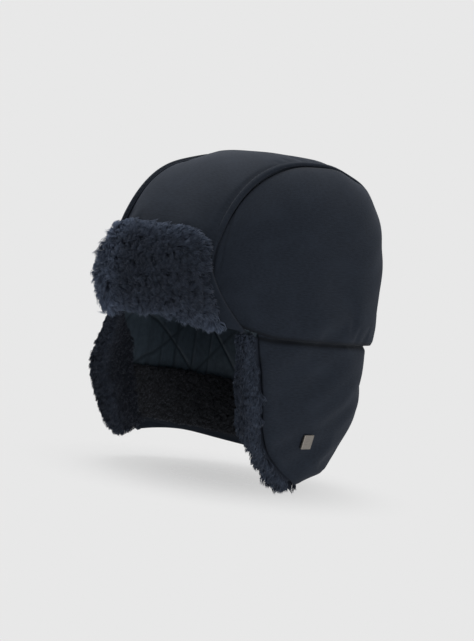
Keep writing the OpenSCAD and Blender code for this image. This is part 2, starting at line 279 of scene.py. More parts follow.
def curtain_taper(z):
    return ease((-z - TAPER_START) / (HEM_DEPTH - TAPER_START))


def curtain_point(angle, z, inset):
    taper = curtain_taper(z)
    power = 2 / mix(PLAN_POWER, 2, taper)
    wide = mix(CROWN_HALF_W - CURTAIN_STEP, HEM_HALF_W, taper) - inset
    long = mix(CROWN_HALF_L - CURTAIN_STEP, HEM_HALF_L, taper) - inset
    x = wide * signed_power(np.cos(angle), power)
    return np.stack([x, long * signed_power(np.sin(angle), power), z], axis=-1)


def curtain_angle(y, z, inset):
    taper = curtain_taper(z)
    long = mix(CROWN_HALF_L - CURTAIN_STEP, HEM_HALF_L, taper) - inset
    return np.arcsin(signed_power(np.clip(y / long, -1, 1), mix(PLAN_POWER, 2, taper) / 2))


FOLD_TOP_Z = float(brow_z(np.array(FOLD_TOP_Y))) - SEAM_GAP
FOLD_SLOPE = (FOLD_HEM_Y - FOLD_TOP_Y) / (-HEM_DEPTH - FOLD_TOP_Z)
FOLD_ACROSS = 1 / math.hypot(1, FOLD_SLOPE)


def fold_y(z):
    return FOLD_TOP_Y + (z - FOLD_TOP_Z) * FOLD_SLOPE


def front_edge_y(share, over):
    return -TEMPLE_Y - over + EDGE_SLANT * share + CORNER_SWEEP * share**5


def band_back_y(z):
    """Where the ear flap's sherpa ends inside the hat."""
    share = np.clip(-z / TIP_DEPTH, 0, 1)
    inner = np.maximum(mix(-BAND_TEMPLE_Y, -BAND_HEM_Y, share), front_edge_y(share, 0) + 15)
    return np.minimum(inner, fold_y(z) - 1.0)


def front_half_angle(v, margin):
    narrow = mix(FLAP_TOP_ANGLE, FLAP_BASE_ANGLE, (1 - v) ** 1.8)
    return narrow - margin * (0.2 + 0.8 * (1 - v) ** 1.3)


def front_foot(angle):
    arch = np.cos(np.radians(90 * np.minimum(1, np.abs(angle) / FLAP_FOOT_ANGLE))) ** 2
    return mix(FLAP_SIDE_Z, FLAP_MID_Z, arch)


def front_point(c, v, offset, margin):
    """Points of the front flap, c from its right end to its left and v from its foot to its top."""
    top = FLAP_TOP_Z * (1 - (0.92 * np.abs(c)) ** 5) ** 0.2
    z = mix(front_foot(c * front_half_angle(np.zeros_like(v), margin)), top, v)
    angle = np.radians(c * front_half_angle(v, margin) - 90)
    return crown_ring(angle, z / (CROWN_H + offset), -offset)


def near_spot(x, y, spot):
    """How near points are in plan to a spot, given by its middle and its width."""
    return bump(np.hypot(x - spot[0], y - spot[1]), spot[2])


def settle(points):
    """Lets the soft hat sit as it does in the photograph."""
    x, y, z = points.T.copy()
    low = np.clip(-z / 100, 0, 1.2)
    right = np.clip(-x / 80, 0, 1.2)
    nape = ease((y + 20 - 30 * ease(x / 60)) / 60)
    points[:, 2] += low * (RIGHT_LIFT * right**3 - NAPE_DROOP * nape)
    beyond = np.maximum(0, (fold_y(z) - y) * FOLD_ACROSS)
    points[:, 0] -= RIGHT_SPLAY * right * np.clip(-z / 20, 0, 1) * beyond**2 / (beyond + 12)
    slack = 0.8 * near_spot(x, y, RIGHT_SHOULDER) + near_spot(x, y, LEFT_SHOULDER)
    points[:, 2] -= SHOULDER_SLACK * slack * ease((z - 60) / 40)
    press = TEMPLE_PRESS * near_spot(x, y, TEMPLE_SPOT) * bump(z, 28)
    front = ease((-y - 5) / 40) * ease((z - 30) / 30)
    press += front * (PANEL_PRESS * ease((-x - 50) / 14) - WELT_PUSH * bump(x + 45, 12))
    press += NAPE_FLARE * bump(z + 82, 22) * ease((PRESS_X * x + PRESS_Y * y - 40) / 40)
    points[:, 0] += PRESS_X * press
    points[:, 1] += PRESS_Y * press
    return points


def ripple(p, pitch):
    """Soft, slow swells of padded cloth, between about -1 and 1."""
    swells = np.zeros(len(p))
    for size, share in ((pitch, 0.7), (pitch * 0.4, 0.3)):
        x, y, z = (p * (2 * math.pi / size)).T
        swells += share * np.sin(x * 0.9 + y * 0.5 + z * 0.3 + 0.7)
        swells += share * np.sin(y * 0.8 - z * 0.9 + x * 0.2 + 2.1)
        swells += share * np.sin(z * 1.3 + x * 0.4 - y * 0.6 + 4.4)
    return swells / 3


def mirror_right(place):
    """The same piece on the right side, run the other way so that it still faces out."""

    def placed(u, v):
        points = place(1 - u, v)
        points[:, 0] *= -1
        return points

    return placed


def both_sides(place, lines=None):
    """The name, place and lines of painted shade of a piece on the left, and of the same piece on the
    right.
    """

    def mirrored(u, v):
        return lines(1 - u, v)

    return ("left", place, lines), ("right", mirror_right(place), mirrored if lines else None)


def length_property(name, description, default):
    return bpy.props.FloatProperty(name=name, description=description, default=default, unit="LENGTH")


class HatSizes(bpy.types.PropertyGroup):
    """Sizes of the hat's finish."""

    pile_length: length_property("Pile length", "Length of the sherpa's strands", 0.0075)
    pile_width: length_property("Strand width", "Half width of one strand at its root", 0.00026)
    neck_pile_length: length_property("Neck pile length", "Length of the pile inside the neck", 0.004)
    pile_strands: bpy.props.IntProperty(
        name="Strands", description="Strands on each sherpa face", default=19000
    )
    swell: length_property("Cloth swell", "Height of the padded cloth's soft swells", 0.0024)
    welt_height: length_property("Welt height", "Height of the raised crown seams", 0.0019)
    stitch_pitch: length_property("Stitch pitch", "Distance from one stitch to the next", 0.0032)
    quilt_pitch: length_property("Quilt pitch", "Distance between the lining's quilting lines", 0.038)
    quilt_depth: length_property("Quilt depth", "Depth of the lining's quilting lines", 0.0006)


def tint(name, description, default):
    return bpy.props.FloatVectorProperty(
        name=name, description=description, default=default, subtype="COLOR", size=3, min=0, max=1
    )


class HatColours(bpy.types.PropertyGroup):
    """Colours of the hat's finish, as linear values."""

    cloth: tint("Cloth", "Outer cloth", (0.0155, 0.0204, 0.0300))
    cloth_fleck: tint("Cloth fleck", "Paler yarn in the outer cloth", (0.0228, 0.0297, 0.0432))
    pile_root: tint("Pile root", "Sherpa at its roots", (0.014, 0.017, 0.025))
    pile_tip: tint("Pile tip", "Sherpa at its tips", (0.191, 0.241, 0.344))
    neck_root: tint("Neck pile root", "Neck sherpa at its roots", (0.0150, 0.0158, 0.0181))
    neck_tip: tint("Neck pile tip", "Neck sherpa at its tips", (0.096, 0.103, 0.115))
    lining: tint("Lining", "Quilted lining", (0.054, 0.076, 0.099))
    binding: tint("Binding", "Hem binding", (0.024, 0.029, 0.036))
    thread: tint("Thread", "Topstitching", (0.011, 0.014, 0.020))
    badge: tint("Badge", "Metal badge", (0.245, 0.226, 0.205))
    floor: tint("Floor", "Floor and background", (0.807, 0.807, 0.807))


def new_material(name):
    """A node material with its Principled shader."""
    material = bpy.data.materials.new(name)
    material.use_nodes = True
    return material, material.node_tree, material.node_tree.nodes["Principled BSDF"]


def set_sockets(tree, node, sockets):
    """Gives a node's input sockets values, or links them to other nodes' outputs."""
    for name, value in sockets.items():
        if isinstance(value, bpy.types.NodeSocket):
            tree.links.new(value, node.inputs[name])
        else:
            node.inputs[name].default_value = value


def add_node(tree, kind, sockets=None, **settings):
    """A node with settings, and with values or links on its input sockets."""
    node = tree.nodes.new(kind)
    for key, value in settings.items():
        setattr(node, key, value)
    set_sockets(tree, node, sockets or {})
    return node


def noise_at(tree, vector, scale, detail, stretch):
    """Noise at a vector in metres, its scale in waves per metre."""
    mapping = add_node(tree, "ShaderNodeMapping", {"Vector": vector, "Scale": stretch})
    sockets = {"Vector": mapping.outputs["Vector"], "Scale": scale, "Detail": detail}
    return add_node(tree, "ShaderNodeTexNoise", sockets).outputs["Fac"]


def object_noise(tree, scale, detail, stretch=(1, 1, 1)):
    """Noise on Object coordinates."""
    where = add_node(tree, "ShaderNodeTexCoord")
    return noise_at(tree, where.outputs["Object"], scale, detail, stretch)


def cloth_noise(tree, scale, detail, stretch):
    """Noise on the cloth's own UV map, drawn out along its level threads."""
    where = add_node(tree, "ShaderNodeUVMap", uv_map="cloth")
    return noise_at(tree, where.outputs["UV"], scale, detail, (1, stretch, 1))


def blend_colours(tree, factor, low, high, first, second):
    """Two colours mixed by a factor that runs from low to high."""
    ramp = add_node(tree, "ShaderNodeValToRGB", {"Fac": factor})
    start, end = ramp.color_ramp.elements
    start.position = low
    start.color = (*first, 1)
    end.position = high
    end.color = (*second, 1)
    return ramp.outputs["Color"]


def bumped(tree, height, strength, distance):
    """Normals of a surface that a height makes uneven."""
    sockets = {"Height": height, "Strength": strength, "Distance": distance}
    return add_node(tree, "ShaderNodeBump", sockets).outputs["Normal"]


def mix_colours(tree, factor, linked, plain):
    """A colour from another node mixed with a plain one."""
    sockets = {"Factor": factor, "A": linked, "B": (*plain, 1)}
    return add_node(tree, "ShaderNodeMix", sockets, data_type="RGBA").outputs["Result"]


def paint_line_shade(tree, colour, dark):
    """A colour with painted shade along the lines a piece marks: seams, turned edges, quilting lines and
    pleats.
    """
    line = add_node(tree, "ShaderNodeAttribute", attribute_name="sewn_line")
    return mix_colours(tree, line.outputs["Fac"], colour, dark)


def scaled(values, factor):
    """A colour made paler or darker."""
    return tuple(min(1, v * factor) for v in values)


def soft_shell_cloth(name, base, fleck):
    """Matt knitted cloth with flecks, brushed patches and a fine grain, with painted shade along its seams
    and turned edges.
    """
    material, tree, shader = new_material(name)
    flecks = blend_colours(tree, cloth_noise(tree, 270, 4, 3.6), 0.34, 0.7, base, fleck)
    patches = blend_colours(tree, cloth_noise(tree, 38, 3, 1.4), 0.48, 0.8, (0, 0, 0), (0.6, 0.6, 0.6))
    brushed = mix_colours(tree, patches, flecks, scaled(fleck, 1.2))
    finish = {
        # Painted shade: a quarter of the base colour along the marked seams and edges
        "Base Color": paint_line_shade(tree, brushed, scaled(base, 0.25)),
        "Roughness": 0.9,
        "Specular IOR Level": 0.2,
        "Sheen Weight": 0.05,
        "Sheen Roughness": 0.4,
        "Sheen Tint": SHEEN_TINT,
        "Normal": bumped(tree, cloth_noise(tree, 900, 2, 2.0), 0.35, 0.0004),
    }
    set_sockets(tree, shader, finish)
    return material


def sherpa_pile(name, root, tip):
    """Curly pile, dark at its roots and paler towards its tips."""
    material, tree, shader = new_material(name)
    shade = add_node(tree, "ShaderNodeAttribute", attribute_name="pile_shade")
    finish = {
        "Base Color": blend_colours(tree, shade.outputs["Fac"], 0.025, 0.95, root, tip),
        "Roughness": 0.95,
        "Specular IOR Level": 0.15,
        "Sheen Weight": 0.15,
        "Sheen Roughness": 0.5,
        "Sheen Tint": SHEEN_TINT,
    }
    set_sockets(tree, shader, finish)
    return material


def quilted_nylon(name, base):
    """Smooth lining cloth with a slight gloss and fine puckers, with painted shade along its quilting lines
    and pleats.
    """
    material, tree, shader = new_material(name)
    clouds = blend_colours(tree, object_noise(tree, 240, 3), 0.3, 0.7, base, scaled(base, 1.35))
    finish = {
        # Painted shade: the base colour at 0.55 along the quilting lines and pleats
        "Base Color": paint_line_shade(tree, clouds, scaled(base, 0.55)),
        "Roughness": 0.55,
        "Specular IOR Level": 0.35,
        "Normal": bumped(tree, object_noise(tree, 420, 4, (1, 1, 0.5)), 0.3, 0.0008),
    }
    set_sockets(tree, shader, finish)
    return material


def brushed_badge(name, base):
    """Dull brushed metal."""
    material, tree, shader = new_material(name)
    lines = object_noise(tree, 3000, 2, (1, 0.08, 1))
    finish = {
        "Base Color": blend_colours(tree, lines, 0.35, 0.65, scaled(base, 0.8), base),
        "Metallic": 1.0,
        "Roughness": 0.44,
        "Normal": bumped(tree, lines, 0.12, 0.0001),
    }
    set_sockets(tree, shader, finish)
    return material


def plain_thread(name, base):
    """Twisted sewing thread."""
    material, tree, shader = new_material(name)
    twist = blend_colours(tree, object_noise(tree, 2400, 1), 0.35, 0.65, base, scaled(base, 1.4))
    set_sockets(tree, shader, {"Base Color": twist, "Roughness": 0.7})
    return material


# How each material is made, and the colours it takes
FINISHES = {
    "soft_shell_cloth": (soft_shell_cloth, "cloth", "cloth_fleck"),
    "binding_cloth": (soft_shell_cloth, "binding", "cloth_fleck"),
    "sherpa_pile": (sherpa_pile, "pile_root", "pile_tip"),
    "neck_pile": (sherpa_pile, "neck_root", "neck_tip"),
    "quilted_nylon": (quilted_nylon, "lining"),
    "topstitch_thread": (plain_thread, "thread"),
    "brushed_badge": (brushed_badge, "badge"),
}


def material_named(name):
    """The material of that name, made once."""
    make, *colours = FINISHES[name]
    chosen = [tuple(getattr(bpy.context.scene.hat_colours, colour)) for colour in colours]
    return bpy.data.materials.get(name) or make(name, *chosen)


def mesh_from(bm, name):
    """Turns what was built into a mesh."""
    mesh = bpy.data.meshes.new(name)
    bm.to_mesh(mesh)
    bm.free()
    return mesh


def link_piece(name, mesh, material):
    mesh.shade_smooth()
    piece = bpy.data.objects.new(name, mesh)
    bpy.context.scene.collection.objects.link(piece)
    piece.data.materials.append(material)
    return piece


def apply_modifiers(piece):
    """Makes what the modifiers show the piece's own mesh."""
    bpy.context.view_layer.update()
    shown = piece.evaluated_get(bpy.context.evaluated_depsgraph_get())
    mesh = bpy.data.meshes.new_from_object(shown)
    piece.modifiers.clear()
    piece.data = mesh
    return piece


def path_length(points):
    return np.linalg.norm(np.diff(points, axis=0), axis=1).sum()


def lay_grid(name, columns, rows, place):
    """A mesh grid laid where place puts it, with a UV map in metres, and its vertices' shares u and v."""
    steps = np.linspace(0, 1, 60)
    middle = np.full_like(steps, 0.5)
    width = path_length(place(steps, middle)) * MM
    length = path_length(place(middle, steps)) * MM
    bm = bmesh.new()
    bmesh.ops.create_grid(bm, x_segments=columns, y_segments=rows, size=0.5)
    flat = bm.loops.layers.uv.new("cloth")
    for face in bm.faces:
        for corner in face.loops:
            corner[flat].uv = (corner.vert.co.x * width, corner.vert.co.y * length)
    shares = np.array([v.co[:2] for v in bm.verts]) + 0.5
    for vert, point in zip(bm.verts, place(shares[:, 0], shares[:, 1]) * MM):
        vert.co = point
    return mesh_from(bm, name), shares


def vertex_spots(mesh):
    spots = np.empty(len(mesh.vertices) * 3)
    mesh.vertices.foreach_get("co", spots)
    return spots.reshape(-1, 3) / MM


def simulate_slack(place, columns, rows, slack, margin):
    """Cloth simulation of a panel cut a little too large and held along its edges.

    margin is the share of its width that is held at each side. Gives how far the panel's points move.
    """
    mesh, shares = lay_grid("slack_panel", columns, rows, place)
    panel = bpy.data.objects.new("slack_panel", mesh)
    scene = bpy.context.scene
    scene.collection.objects.link(panel)
    from_edge = np.minimum(shares, 1 - shares) - (margin, 0)
    held = np.nonzero(from_edge.min(axis=1) < 1e-4)[0]
    panel.vertex_groups.new(name="held").add(held.tolist(), 1.0, "REPLACE")
    cloth = panel.modifiers.new("Slack", "CLOTH")
    settings = cloth.settings
    settings.vertex_group_mass = "held"
    settings.shrink_min = -slack
    settings.bending_stiffness = SLACK_BENDING
    settings.use_pressure = True
    settings.uniform_pressure_force = SLACK_PRESSURE
    settings.effector_weights.gravity = 0
    cloth.collision_settings.use_collision = False
    cloth.point_cache.frame_end = SLACK_FRAMES
    before = vertex_spots(mesh)
    for moment in range(1, SLACK_FRAMES + 1):
        scene.frame_set(moment)
    shown = panel.evaluated_get(bpy.context.evaluated_depsgraph_get())
    moved = vertex_spots(shown.data) - before
    scene.frame_set(1)
    bpy.data.objects.remove(panel)
    order = np.lexsort((shares[:, 0], shares[:, 1]))
    far = np.linalg.norm(moved, axis=1, keepdims=True)
    moved *= np.minimum(1, SLACK_CAP / np.maximum(far, 1e-9))
    return moved[order].reshape(rows + 1, columns + 1, 3)


def read_grid(grid, u, v):
    """Values between the points of a grid of values, at shares u and v of its sides."""
    across = np.clip(u, 0, 1) * (grid.shape[1] - 1)
    along = np.clip(v, 0, 1) * (grid.shape[0] - 1)
    i = np.minimum(across.astype(int), grid.shape[1] - 2)
    j = np.minimum(along.astype(int), grid.shape[0] - 2)
    a = (across - i)[:, None]
    b = (along - j)[:, None]
    return mix(mix(grid[j, i], grid[j, i + 1], a), mix(grid[j + 1, i], grid[j + 1, i + 1], a), b)


def puckered(place, columns, rows, slack, margin=0.0):
    """The same piece after the simulation of its slack."""

    def settled(u, v):
        return settle(place(u, v))

    moved = simulate_slack(settled, columns, rows, slack, margin)

    def placed(u, v):
        return place(u, v) + read_grid(moved, u, v)

    return placed


def cloth_piece(name, columns, rows, place, thickness, material, rounding=0, lines=None):
    """A grid laid where place puts it, given a thickness inwards and rounded if asked.

    lines gives how near each point is to a seam, turned edge, quilting line or pleat, where the material
    paints shade.
    """
    mesh, shares = lay_grid(name, columns, rows, lambda u, v: settle(place(u, v)))
    if lines:
        mesh.attributes.new("sewn_line", "FLOAT", "POINT").data.foreach_set("value", lines(*shares.T))
    piece = link_piece(name, mesh, material)
    bm = bmesh.new()
    bm.from_mesh(mesh)
    bmesh.ops.remove_doubles(bm, verts=bm.verts, dist=2e-5)
    bm.to_mesh(mesh)
    bm.free()
    solid = piece.modifiers.new("Thickness", "SOLIDIFY")
    solid.thickness = thickness * MM
    solid.offset = -1
    if rounding:
        soft = piece.modifiers.new("Rounding", "SUBSURF")
        soft.levels = rounding
        soft.render_levels = rounding
    return apply_modifiers(piece)


def flow(spots, normal, lean, curl):
    """Directions in which pile lies on a surface: a lean from level, with curls that come and go."""
    level = unit(np.stack([-normal[:, 1], normal[:, 0], np.zeros(len(normal))], axis=1))
    rising = np.cross(normal, level)
    x, y, z = spots.T
    slow = np.sin(x * 0.31 + y * 0.27 + 1.5 * np.sin(z * 0.17))
    slow += np.sin(z * 0.43 - x * 0.12 + y * 0.19 + 1.3)
    quick = np.sin(x * 0.9 - y * 0.7 + z * 0.5 + 2 * np.sin(z * 0.3))
    quick += np.sin(z * 1.1 + x * 0.4 + y * 0.6)
    turn = (lean + curl * (slow + quick) / 4)[:, None]
    return level * np.cos(turn) + rising * np.sin(turn)


def outwards(spots, normal):
    """How much a surface faces away from the hat's upright axis."""
    return normal[:, 0] * spots[:, 0] + normal[:, 1] * spots[:, 1]


def scatter_roots(mesh, strands, groom, rng):
    """Where strands start on a pad, and the pad's normals there."""
    mesh.calc_loop_triangles()
    spots = vertex_spots(mesh)
    normals = np.empty(len(mesh.vertices) * 3)
    mesh.vertices.foreach_get("normal", normals)
    normals = normals.reshape(-1, 3)
    corners = np.empty(len(mesh.loop_triangles) * 3, dtype=np.int32)
    mesh.loop_triangles.foreach_get("vertices", corners)
    corners = corners.reshape(-1, 3)
    a, b, c = (spots[corners[:, i]] for i in range(3))
    area = np.linalg.norm(np.cross(b - a, c - a), axis=1)
    chance = area * groom((a + b + c) / 3, unit(normals[corners].sum(axis=1)))[0]
    pick = rng.choice(len(corners), strands, p=chance / chance.sum())
    r = np.sqrt(rng.random(strands))
    s = rng.random(strands)
    shares = np.stack([1 - r, r * (1 - s), r * s], axis=1)[:, :, None]
    root = (shares * spots[corners[pick]]).sum(axis=1)
    return root, unit((shares * normals[corners[pick]]).sum(axis=1))


def join_strands(piece, points, shade):
    """Makes a pad and its strands one mesh: a strand has a ring at its root, one half way and a tip."""
    mesh = piece.data
    pad = vertex_spots(mesh)
    first = len(pad) + len(STRAND_SHADES) * np.arange(len(points) // len(STRAND_SHADES))
    faces = [tuple(p.vertices) for p in mesh.polygons]
    for i, j in ((0, 1), (1, 2), (2, 0)):
        faces += list(zip(first + i, first + j, first + 3 + j, first + 3 + i))
        faces += list(zip(first + 3 + i, first + 3 + j, first + 6))
    whole = bpy.data.meshes.new(piece.name)
    whole.from_pydata(np.concatenate([pad, points]) * MM, [], [tuple(int(i) for i in f) for f in faces])
    layer = whole.attributes.new("pile_shade", "FLOAT", "POINT")
    layer.data.foreach_set("value", np.concatenate([np.full(len(pad), PAD_SHADE), shade]))
    whole.shade_smooth()
    whole.materials.append(mesh.materials[0])
    piece.data = whole


def grow_pile(piece, strands, length, width, groom, seed):
    """Covers a pad with fine strands that gather into locks, and makes both one mesh.

    groom gives, for spots and normals, how likely pile is there, its direction, length share and tone, with
    painted light and shade in the tone.
    """
    rng = np.random.default_rng(seed)
    root, normal = scatter_roots(piece.data, strands, groom, rng)
    _, way, reach, tone_and_painted_light = groom(root, normal)
    way = unit(unit(way) + rng.normal(0, 0.12, (strands, 3)))
    locks = strands // STRANDS_IN_LOCK
    lock_shade = rng.uniform(0.7, 1.0, locks)
    lock_reach = rng.uniform(0.75, 1.25, locks)
    tree = KDTree(locks)
    for i, point in enumerate(root[:locks]):
        tree.insert(point, i)
    tree.balance()
    owner = np.array([tree.find(p)[1] for p in root])
    reach = length * (reach * lock_reach[owner] * rng.uniform(0.85, 1.1, strands))[:, None]
    free = root + way * reach
    tip = mix(free, free[owner], LOCK_GATHER)
    across = unit(np.cross(tip - root, normal + rng.normal(0, 0.2, (strands, 3))))
    bend = normal * reach * STRAND_BOW + across * reach * rng.normal(0, 0.12, (strands, 1))
    other = unit(np.cross(tip - root, across))
    thick = width * rng.uniform(0.8, 1.25, (strands, 1))
    rings = []
    for point, size in ((root - normal * ROOT_SINK, 1.0), (mix(root, tip, 0.55) + bend, 0.85)):
        for turn in (0, 2 * math.pi / 3, 4 * math.pi / 3):
            rings.append(point + (across * math.cos(turn) + other * math.sin(turn)) * thick * size)
    points = np.stack([*rings, tip], axis=1).reshape(-1, 3)
    # Strand shades take the groom's tone, with its painted light and shade
    strand_shade = tone_and_painted_light * lock_shade[owner] * rng.uniform(0.65, 1.25, strands)
    join_strands(piece, points, np.outer(strand_shade, STRAND_SHADES).ravel())


def stitch_row(name, points, ups, pitch, material):
    """A row of stitches, each a small spindle laid along the seam."""
    bm = bmesh.new()
    size = Matrix.Diagonal((pitch * STITCH_SHARE / 2, STITCH_RADIUS * MM, STITCH_RADIUS * MM, 1))
    for i in range(len(points) - 1):
        along = Vector(points[i + 1] - points[i]).normalized()
        side = along.cross(Vector(ups[i])).normalized()
        turn = Matrix((along, side, along.cross(side))).transposed().to_4x4()
        place = Matrix.Translation(Vector(points[i]) * MM)
        bmesh.ops.create_uvsphere(bm, u_segments=6, v_segments=4, radius=1, matrix=place @ turn @ size)
    return link_piece(name, mesh_from(bm, name), material)


def put_on(piece, body, nodes=()):
    """Rides a piece on its body and hides the solids it stands for."""
    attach(piece, body)
    if nodes:
        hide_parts(*nodes)


def centre_spots(u, v):
    """Places across the crown's centre panel, and directions from the brow to the nape."""
    x = mix(-CENTRE_EDGE, CENTRE_EDGE, u)
    return x, mix(brow_angle(x), math.pi, v)


def side_spots(u, v, inset):
    """Plan angles and height shares of a crown side panel, and the height share of its foot."""
    wide = CROWN_HALF_W - inset
    end = math.acos((SIDE_EDGE / wide) ** (PLAN_POWER / 2))
    angle = end * np.sin(math.pi / 2 * (2 * u - 1))
    low = crown_ring(angle, np.zeros_like(angle), inset)
    foot = brow_z(low[:, 1] * CROWN_HALF_L / (CROWN_HALF_L - BROW_TUCK)) / CROWN_H
    seam = width_share(SIDE_EDGE / (wide * np.cos(angle) ** (2 / PLAN_POWER)))
    return angle, mix(foot, np.maximum(seam, foot + 0.002), v), foot


class HAT_OT_crown(bpy.types.Operator):
    """Lays the three padded panels of the crown"""

    bl_idname = "hat.crown"
    bl_label = "Crown panels"

    def execute(self, context):
        swell = context.scene.hat_sizes.swell / MM
        cloth = material_named("soft_shell_cloth")

        def start_in(u, v):
            return CROWN_START_IN * np.sin(math.pi * v) ** 0.5 * np.sin(math.pi * u) ** 0.5

        def centre(u, v):
            x, angle = centre_spots(u, v)
            plain = crown_slice(x, angle, np.zeros_like(x))
            inset = 1.5 * bump(CENTRE_EDGE - np.abs(x), 1.6)
            inset += 1.6 * bump(plain[:, 2] - brow_z(plain[:, 1]), 1.8)
            return crown_slice(x, angle, inset + start_in(u, v) - swell * ripple(plain, 105))

        def side(u, v):
            angle, t, foot = side_spots(u, v, 0)
            plain = crown_ring(angle, t, 0)
            above = (t - foot) * CROWN_H
            inset = 1.5 * bump((plain[:, 0] - CENTRE_HALF_W) * 1.2, 1.5) + 0.9 * bump(above, 1.5)
            inset -= SEAM_ROLL * bump(above - 15, 9)
            return crown_ring(angle, t, inset + start_in(u, v) - swell * ripple(plain, 95))

        # Painted shade along the centre panel's edges at the welts, and painted shadow along the side
        # panels' foot and top seams
        def centre_lines(u, v):
            return 0.4 * bump(2 * CENTRE_HALF_W * np.minimum(u, 1 - u), 1.5)

        def side_lines(u, v):
            return np.maximum(bump(v * SIDE_RUN, 1.3), bump((1 - v) * SIDE_RUN, 1.3))

        slack = puckered(centre, 36, 90, slack=0.009, margin=0.06)
        panel = cloth_piece("crown_centre", 72, 190, slack, CROWN_THICK, cloth, lines=centre_lines)
        put_on(panel, "hat_body", ["crown_centre_panel", "crown_wadding_centre"])
        for name, place, lines in both_sides(side, side_lines):
            slack = puckered(place, 75, 32, slack=0.009, margin=0.13)
            panel = cloth_piece("crown_side_" + name, 150, 84, slack, CROWN_THICK, cloth, lines=lines)
            put_on(panel, "hat_body", ["crown_side_panel_" + name, "crown_wadding_" + name])
        return {"FINISHED"}


class HAT_OT_welts(bpy.types.Operator):
    """Raises the two welts along the crown seams and sews them down"""

    bl_idname = "hat.welts"
    bl_label = "Crown welts"

    def execute(self, context):
        sizes = context.scene.hat_sizes
        height = sizes.welt_height / MM
        cloth = material_named("soft_shell_cloth")
        thread = material_named("topstitch_thread")

        def welt(u, v):
            x = mix(WELT_INNER_X, WELT_OUTER_X, u)
            angle = mix(brow_angle(x) + 0.01, math.pi, v)
            rise = height * ease(u / 0.55) * (1 - np.clip(2 * u - 1, 0, 1) ** 5) ** 0.5
            return crown_slice(x, angle, 0.5 - rise)

        v = np.linspace(0.02, 0.985, int(WELT_LENGTH * MM / sizes.stitch_pitch))
        for name, place, sewn_u in (("left", welt, 0.3), ("right", mirror_right(welt), 0.7)):
            strip = cloth_piece("crown_welt_cloth_" + name, 12, 190, place, 0.9, cloth)
            put_on(strip, "hat_body", ["crown_welt_" + name])
            row = settle(place(np.full_like(v, sewn_u), v))
            ups = unit(row - CROWN_MIDDLE)
            stitches = stitch_row(
                "welt_stitches_" + name, row + ups * 0.05, ups, sizes.stitch_pitch, thread
            )
            put_on(stitches, "hat_body")
        return {"FINISHED"}


def quilt_lines(across, down, pitch):
    """How near a spot is to the lining's crossing quilting lines."""
    near = np.zeros_like(across)
    for lean in (QUILT_LEAN, -QUILT_LEAN):
        along = (across + down / math.tan(lean)) * math.sin(abs(lean))
        near = np.maximum(near, bump(along - pitch * np.round(along / pitch), QUILT_LINE_W))
    return near


class HAT_OT_crown_lining(bpy.types.Operator):
    """Lines the crown with quilted cloth"""

    bl_idname = "hat.crown_lining"
    bl_label = "Crown lining"

    def execute(self, context):
        sizes = context.scene.hat_sizes
        pitch = sizes.quilt_pitch / MM
        depth = sizes.quilt_depth / MM
        nylon = material_named("quilted_nylon")

        def centre(u, v):
            x, angle = centre_spots(u, v)
            return crown_slice(x, angle, CROWN_LINING_IN - centre_lines(u, v) * depth)

        def centre_lines(u, v):
            return quilt_lines(2 * CENTRE_HALF_W * (u - 0.5), v * CENTRE_QUILT_RUN, pitch)

        def side(u, v):
            angle, t, _ = side_spots(u, v, CROWN_LINING_IN)
            return crown_ring(angle, t, CROWN_LINING_IN - side_lines(u, v) * depth)

        def side_lines(u, v):
            return quilt_lines(2 * CROWN_HALF_L * (u - 0.5), v * SIDE_QUILT_RUN, pitch)

        pieces = (
            ("centre", "crown_centre", 60, 160, centre, centre_lines, (0.096, 0.4), 0.038),
            ("left", "crown_side_left", 120, 60, side, side_lines, (0.22, 0.14), 0.0244),
            ("right", "crown_side_right", 120, 60, mirror_right(side), side_lines, (0.22, 0.14), 0.0244),
        )
        for name, panel, columns, rows, place, lines, flat, area in pieces:
            # The quilting lines are grooves in the lining and also carry painted shade
            piece = cloth_piece("quilted_crown_" + name, columns, rows, place, 0.8, nylon, lines=lines)
            put_on(piece, "hat_body", ["crown_lining_" + name])
        return {"FINISHED"}


def curtain_spots(u, w):
    """Angles and heights of the curtain's cloth, u from its front edge to the nape and w from seam to hem.

    Also gives the angles of its front edge and the heights of its seam.
    """
    seam = curtain_point(mix(curtain_angle(-TEMPLE_Y, 0.0, 0.0), math.pi / 2, u), np.zeros_like(u), 0.0)
    top = brow_z(np.maximum(seam[:, 1], FOLD_TOP_Y)) - SEAM_GAP
    bottom = -mix(HEM_DEPTH, TIP_DEPTH, np.clip(1 - u / 0.45, 0, 1) ** 2)
    z = mix(top + CURTAIN_UNDER, bottom, w)
    front = curtain_angle(front_edge_y(w, 0.0), mix(top, -TIP_DEPTH, w), 0.0)
    return mix(front, math.pi / 2, u), z, front, top


def blend_over_fold(piece):
    """Bakes the piece's transform into its mesh."""
    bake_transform(piece)


class HAT_OT_curtain(bpy.types.Operator):
    """Hangs the outer cloth of the neck curtain and the ear flaps"""

    bl_idname = "hat.curtain"
    bl_label = "Curtain and ear flap cloth"

    def execute(self, context):
        swell = context.scene.hat_sizes.swell / MM
        cloth = material_named("soft_shell_cloth")

        def curtain(u, v):
            angle, z, front, top = curtain_spots(u, 1 - v)
            plain = curtain_point(angle, z, 0)
            inset = 1.3 * bump((angle - front) * TEMPLE_RADIUS, 2.0)
            inset += 1.2 * bump((math.pi / 2 - angle) * NAPE_RADIUS, 1.4)
            inset += bump(v * HEM_DEPTH, 1.8) + 1.7 * bump(z - top + 1.0, 1.8)
            return curtain_point(angle, z, inset - swell * ripple(plain, 70))

        # Painted shadow along the curtain's top, under the crown's overhanging edge
        def seam_shade(u, v):
            _, z, _, top = curtain_spots(u, 1 - v)
            return bump(z - top + 1.0, 1.6)

        for name, place, lines in both_sides(curtain, seam_shade):
            slack = puckered(place, 60, 34, slack=0.008)
            hung = cloth_piece("side_cloth_" + name, 150, 84, slack, CURTAIN_THICK, cloth, lines=lines)
            nodes = ["neck_shell_", "neck_wadding_", "ear_flap_shell_", "ear_flap_wadding_"]
            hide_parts(*[node + name for node in nodes])
            blend_over_fold(hung)
        return {"FINISHED"}


